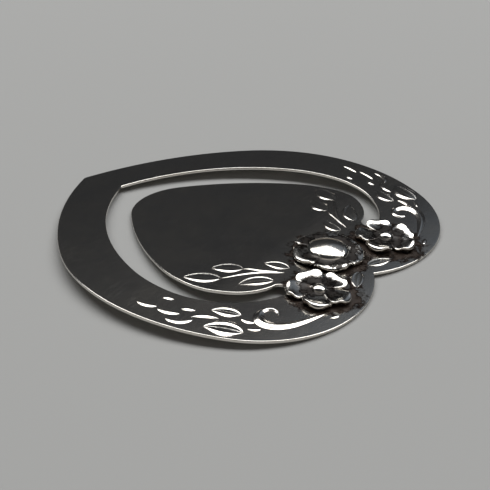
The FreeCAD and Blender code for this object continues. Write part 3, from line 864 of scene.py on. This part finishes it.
def patina_and_shade_mask(tree, mm, ragged, low, rings):
    """low: heights where it starts and is full; rings: x, y, full radius, clean radius."""
    mask = add(tree, "ShaderNodeMapRange",
               {"Value": height_above_sheet(tree, mm), "From Min": low[0], "From Max": low[1],
                "To Max": FULL_AT_FOOT}, interpolation_type="SMOOTHSTEP")
    plan = add(tree, "ShaderNodeVectorMath", {0: mm, 1: (1, 1, 0)}, operation="MULTIPLY")
    blotches = add(tree, "ShaderNodeTexNoise",
                   {"Vector": plan, "Scale": BLOTCHES_PER_MM, "Detail": 3})
    patchy = add(tree, "ShaderNodeMapRange",
                 {"Value": blotches, "From Min": BLOTCH_FROM, "From Max": BLOTCH_TO,
                  "To Min": CLEANEST_BLOTCH})
    # On the petals these rings darken the cups: partly oxide, partly painted shade.
    for x, y, full, clean in rings:
        away = add(tree, "ShaderNodeVectorMath", {0: plan, 1: (x, y, 0)}, operation="DISTANCE")
        edge = add(tree, "ShaderNodeMath", {0: ragged, 1: RAGGED_BY, 2: away.outputs["Value"]},
                   operation="MULTIPLY_ADD")
        ring_mask = add(tree, "ShaderNodeMapRange",
                        {"Value": edge, "From Min": clean + RAGGED_BY / 2,
                         "From Max": full + RAGGED_BY / 2}, interpolation_type="SMOOTHSTEP")
        ring_mask = add(tree, "ShaderNodeMath", {0: ring_mask, 1: patchy}, operation="MULTIPLY")
        mask = add(tree, "ShaderNodeMath", {0: mask, 1: ring_mask}, operation="MAXIMUM")
    return mask


print("the frame's sheet is", round(SHEET_TOP[0], 2), "mm high at mid length")


# %% [markdown]
# Polishing scratches: real ones are a few hundredths of a millimetre wide, too fine to show at
# this distance, so they are drawn about 0.15 mm wide and faint. Stretched noise in three
# directions gives strokes that start and stop, as a cloth leaves them.

# %% Polishing scratches
STROKES = ((0.5, 1.7), (1.9, 1.4), (2.7, 2.1))
STROKES_PER_MM = 7
STROKE_FROM, STROKE_TO = 0.56, 0.78


def scratches(tree, mm):
    """Strokes in several directions, each direction an angle and a length in millimetres."""
    lines = None
    for angle, length in STROKES:
        stroke = add(tree, "ShaderNodeMapping",
                     {"Vector": mm, "Rotation": (0, 0, angle),
                      "Scale": (1 / length, STROKES_PER_MM, 1)})
        grain = add(tree, "ShaderNodeTexNoise",
                    {"Vector": stroke, "Scale": 1.0, "Detail": 3, "Roughness": 0.7})
        line = add(tree, "ShaderNodeMapRange",
                   {"Value": grain, "From Min": STROKE_FROM, "From Max": STROKE_TO})
        lines = add(tree, "ShaderNodeMath", {0: lines, 1: line},
                    operation="MAXIMUM") if lines else line
    return lines


print("strokes are about", round(1 / STROKES_PER_MM, 2), "mm wide")


# %% [markdown]
# One function makes the finish, and each use of it says where tarnish may lie (on the petals
# tarnish together with painted shade) and how scratched the surface is. The colour darkens over
# the first third of the mask and only then does the crust hide the metal, so that no pale
# fringe shows. The bump has four parts: slow waves left by planishing, the scratches, the fine
# grain of worn metal, and the crust of the tarnish.

# %% The finish
# Noise is sized per millimetre and relief in metres. POLISHED is the roughness of clean silver,
# and the next three are what scratches, film and crust add to it. The colour is fully brown
# where the mask is FULLY_DARKENED, and the metal is down to METAL_LEFT where it is CRUSTED.
RAGGED_PER_MM, FILM_PER_MM, WAVES_PER_MM, GRAIN_PER_MM = 1.1, 0.22, 0.13, 4.0
WAVES_DEEP, SCRATCHES_DEEP, GRAIN_DEEP, CRUST_DEEP = 3e-5, 2e-6, 1.2e-5, 1.5e-5
POLISHED, SCRATCH_DULL, FILM_DULL, CRUST_DULL = 0.12, 0.5, 0.06, 0.2
FULLY_DARKENED, CRUSTED, METAL_LEFT = 0.35, 0.9, 0.4


def silver(name, low, rings, scratched, patina_and_shade_colours):
    """low and rings say where tarnish lies, on the petals together with painted shade;
    patina_and_shade_colours is the pair of colours that it mixes.
    """
    material = bpy.data.materials.new(name)
    material.use_nodes = True
    tree = material.node_tree
    tree.nodes.clear()
    place = add(tree, "ShaderNodeTexCoord").outputs["Object"]
    mm = add(tree, "ShaderNodeVectorMath", {0: place, 3: 1000}, operation="SCALE")
    ragged = add(tree, "ShaderNodeTexNoise",
                 {"Vector": mm, "Scale": RAGGED_PER_MM, "Detail": 5, "Roughness": 0.65})
    mask = patina_and_shade_mask(tree, mm, ragged, low, rings)
    lines = scratches(tree, mm)
    film = add(tree, "ShaderNodeTexNoise",
               {"Vector": mm, "Scale": FILM_PER_MM, "Detail": 4, "Roughness": 0.6})
    clean = add(tree, "ShaderNodeMix",
                {0: film, 6: linear(BRIGHT_SILVER), 7: linear(WARM_FILM)}, data_type="RGBA")
    brown = add(tree, "ShaderNodeMix",
                {0: ragged, 6: linear(patina_and_shade_colours[0]), 7: linear(patina_and_shade_colours[1])}, data_type="RGBA")
    # The colour turns brown as the mask rises: tarnish, and on the petals also painted shade.
    patina_and_shade_share = add(tree, "ShaderNodeMapRange", {"Value": mask, "From Max": FULLY_DARKENED})
    colour = add(tree, "ShaderNodeMix",
                 {0: patina_and_shade_share, 6: clean.outputs[2], 7: brown.outputs[2]}, data_type="RGBA")
    rough = POLISHED
    for dulled, by in ((lines, SCRATCH_DULL * scratched), (film, FILM_DULL), (mask, CRUST_DULL)):
        rough = add(tree, "ShaderNodeMath", {0: dulled, 1: by, 2: rough},
                    operation="MULTIPLY_ADD")
    metal = add(tree, "ShaderNodeMapRange",
                {"Value": mask, "From Min": FULLY_DARKENED, "From Max": CRUSTED, "To Min": 1.0,
                 "To Max": METAL_LEFT})
    waves = add(tree, "ShaderNodeTexNoise", {"Vector": mm, "Scale": WAVES_PER_MM, "Detail": 1})
    grain = add(tree, "ShaderNodeTexNoise", {"Vector": mm, "Scale": GRAIN_PER_MM, "Detail": 2})
    crust = add(tree, "ShaderNodeMath", {0: ragged, 1: mask}, operation="MULTIPLY")
    bump = add(tree, "ShaderNodeBump", {"Height": waves, "Distance": WAVES_DEEP})
    for relief, strength, deep in ((lines, 0.5 * scratched, SCRATCHES_DEEP),
                                   (grain, 4 * scratched, GRAIN_DEEP), (crust, 0.5, CRUST_DEEP)):
        bump = add(tree, "ShaderNodeBump", {"Height": relief, "Strength": strength,
                                            "Distance": deep, "Normal": bump})
    shader = add(tree, "ShaderNodeBsdfPrincipled",
                 {"Base Color": colour.outputs[2], "Metallic": metal, "Roughness": rough,
                  "Normal": bump})
    add(tree, "ShaderNodeOutputMaterial", {"Surface": shader})
    return material


print("the finish function is", silver.__name__)

# %% Four silvers
# Polished silver sheet: rolled, planished and buffed; mirror-like, so it shows the dark room,
# with a network of fine scratches and dried brown polish round the flowers.
AROUND = ((7.5, -19.8, 3.8, 5.2), (-7.5, -19.8, 3.8, 5.2), (0, -15.9, 4.3, 5.7))
# The second pair of colours is near black; on the petals it is partly oxide and partly painted
# shade.
DRIED_POLISH, NEAR_BLACK_PATINA_AND_SHADE = ("#1C1613", "#51443B"), ("#161615", "#3D3631")
polished_sheet = silver("polished_silver_sheet", low=(-1, -2), rings=AROUND,
                        scratched=0.1, patina_and_shade_colours=DRIED_POLISH)
# Chased silver relief: the same metal pushed up and burnished; a dark line at its foot.
chased_relief = silver("chased_silver_relief", low=(0.03, -0.02), rings=(),
                       scratched=0.12, patina_and_shade_colours=DRIED_POLISH)
# Struck silver petals: burnished on their rims, and dark inside their cups and underneath: partly
# brown oxide, partly painted shade.
CUP_PATINA_AND_SHADE = ((7.9, -19.4, 1.7, 3.1), (-7.9, -19.4, 1.7, 3.1), (0, -15.7, 3.2, 4.3))
struck_petals = silver("struck_silver_petals", low=(0.3, 0.05), rings=CUP_PATINA_AND_SHADE,
                       scratched=0.12, patina_and_shade_colours=NEAR_BLACK_PATINA_AND_SHADE)
# Burnished silver domes: the bud and the bosses, brightest of all, dark where they meet the
# petals.
burnished_domes = silver("burnished_silver_domes", low=(0.62, 0.4), rings=(),
                         scratched=0.12, patina_and_shade_colours=NEAR_BLACK_PATINA_AND_SHADE)
for material in (polished_sheet, chased_relief, struck_petals, burnished_domes):
    print(material.name, "has", len(material.node_tree.nodes), "nodes")

# %% Which piece is which
finishes = {"heart_frame": polished_sheet, "rose_bud": burnished_domes}
for node, obj in dressed.items():
    if node.endswith("petals"):
        finishes[node] = struck_petals
    elif node.endswith("centre"):
        finishes[node] = burnished_domes
    obj.data.materials.clear()
    obj.data.materials.append(finishes.get(node, chased_relief))
tongue.data.materials.clear()
tongue.data.materials.append(polished_sheet)
print(len(finishes), "pieces have a finish of their own, the rest are chased relief")

# %% [markdown]
# ## Riding on the bodies
# The frame and its ornaments ride on the body of the frame. The tongue and the sprays on it
# are not attached to a body: their place is moved into their meshes. The imported pieces that
# they all stand in for are hidden.

# %% Rides and hidden parts
for node, obj in dressed.items():
    if node.endswith("tongue_leaves"):
        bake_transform(obj)
    else:
        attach(obj, "frame")
    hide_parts(node)
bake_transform(tongue)
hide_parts("tongue_flexure", "page_tongue")

# %% [markdown]
# ## Camera
# The photograph was taken close to the table with a long lens. The place, the lens and the
# direction come from matching the outline of the heart in the picture.

# %% Camera
AZIMUTH, ELEVATION, DISTANCE = math.radians(-54.353), math.radians(28.697), 0.129404
TARGET = Vector((-0.0023106, -0.0049055, 0))
LENS, SENSOR = 75.10, 36
back = Vector((math.sin(AZIMUTH) * math.cos(ELEVATION),
               -math.cos(AZIMUTH) * math.cos(ELEVATION), math.sin(ELEVATION)))
bpy.ops.object.camera_add(location=TARGET + back * DISTANCE,
                          rotation=(-back).to_track_quat("-Z", "Y").to_euler())
camera = bpy.context.object
camera.name = "camera"
camera.data.lens, camera.data.sensor_width = LENS, SENSOR
camera.data.clip_start, camera.data.clip_end = 0.005, 20
scene.camera = camera
print("camera at", [round(c, 4) for c in camera.location])

# %% [markdown]
# ## Studio
# The clip lies on a plain pale paper. The metal is dark in the photograph because it mirrors
# a dark room, and its highlights are one large soft lamp high up behind it. So the lamp is a
# wide softbox above the far side, steep enough that the flat sheet doesn't mirror it and the
# slopes that lean towards the eye do.

# %% Paper
FLOOR_SIZE = 1.2
bpy.ops.object.select_all(action="DESELECT")
bpy.ops.mesh.primitive_plane_add(size=FLOOR_SIZE, location=(0, 0, 0))
floor = bpy.context.object
floor.name = "floor"
paper = bpy.data.materials.new("matt_grey_paper")
paper.use_nodes = True
paper_shader = paper.node_tree.nodes["Principled BSDF"]
paper_shader.inputs["Base Color"].default_value = linear(PAPER)
paper_shader.inputs["Roughness"].default_value = 0.9
floor.data.materials.append(paper)
print("paper is", round(floor.dimensions.x, 2), "m wide")

# %% Softbox
LAMP_ELEVATION, LAMP_TURN, LAMP_DISTANCE = math.radians(67), math.radians(-10), 1.2
LAMP_WIDTH, LAMP_DEPTH, LAMP_LEVEL = 2.6, 0.7, 1.41
far_side = Vector((-back.x, -back.y, 0)).normalized()
lamp_side = Matrix.Rotation(LAMP_TURN, 3, "Z") @ far_side
lamp_way = (lamp_side * math.cos(LAMP_ELEVATION)
            + Vector((0, 0, 1)) * math.sin(LAMP_ELEVATION))
bpy.ops.object.light_add(type="AREA", location=lamp_way * LAMP_DISTANCE,
                         rotation=lamp_way.to_track_quat("Z", "Y").to_euler())
lamp = bpy.context.object
lamp.name = "softbox"
lamp.data.shape = "RECTANGLE"
lamp.data.size, lamp.data.size_y = LAMP_WIDTH, LAMP_DEPTH
# This energy lights the paper from there by about 1, which the level then scales.
lamp.data.energy = math.pi**2 * LAMP_DISTANCE**2 / math.sin(LAMP_ELEVATION) * LAMP_LEVEL
print("softbox", round(lamp.data.energy, 1), "W at", [round(c, 2) for c in lamp.location])

# %% [markdown]
# The room round it is nearly black. A weak glow lies about the softbox, a dim cool window pane
# to the right is what tints the ends of both lobes, and a grey wall behind the camera softens
# the shadow under the near edge. The camera itself sees a pale backdrop in place of the room.

# %% Room
DARK, GLOW, PANE = (0.021, 0.022, 0.024, 1), (0.33, 0.35, 0.38, 1), (0.125, 0.145, 0.175, 1)
WALL, BACKDROP = (0.38, 0.36, 0.335, 1), (0.4, 0.4, 0.39, 1)
# Glow and pane are round spots: degrees to their edge and to their full core. The wall is on
# the camera's side. It fades in by how far a direction points to the eye and out by how far up.
GLOW_SPOT, PANE_SPOT, PANE_TURN = (26, 10), (31, 14), math.radians(-45)
WALL_SIDES, WALL_TOP = (0.05, 0.35), (0.75, 0.42)
world = bpy.data.worlds.new("studio")
scene.world = world
world.use_nodes = True
room = world.node_tree
way = add(room, "ShaderNodeTexCoord").outputs["Generated"]
pane_way = (Matrix.Rotation(PANE_TURN, 3, "Z") @ far_side + Vector((0, 0, 1))).normalized()
layers = []
for colour, towards, (edge, core) in ((GLOW, lamp_way, GLOW_SPOT), (PANE, pane_way, PANE_SPOT)):
    facing = add(room, "ShaderNodeVectorMath", {0: way, 1: towards}, operation="DOT_PRODUCT")
    spot = add(room, "ShaderNodeMapRange",
               {"Value": facing.outputs["Value"], "From Min": math.cos(math.radians(edge)),
                "From Max": math.cos(math.radians(core))}, interpolation_type="SMOOTHERSTEP")
    layers.append((spot, colour))
to_viewer = add(room, "ShaderNodeVectorMath", {0: way, 1: -far_side}, operation="DOT_PRODUCT")
near_side = add(room, "ShaderNodeMapRange",
                {"Value": to_viewer.outputs["Value"], "From Min": WALL_SIDES[0],
                 "From Max": WALL_SIDES[1]})
up = add(room, "ShaderNodeSeparateXYZ", {0: way}).outputs[2]
not_high = add(room, "ShaderNodeMapRange",
               {"Value": up, "From Min": WALL_TOP[0], "From Max": WALL_TOP[1]})
wall = add(room, "ShaderNodeMath", {0: near_side, 1: not_high}, operation="MULTIPLY")
seen = add(room, "ShaderNodeLightPath").outputs["Is Camera Ray"]
shade = DARK
for share, colour in (*layers, (wall, WALL), (seen, BACKDROP)):
    shade = add(room, "ShaderNodeMix", {0: share, 6: shade, 7: colour},
                data_type="RGBA").outputs[2]
room.links.new(shade, room.nodes["Background"].inputs["Color"])
print("the room has", len(room.nodes), "nodes")
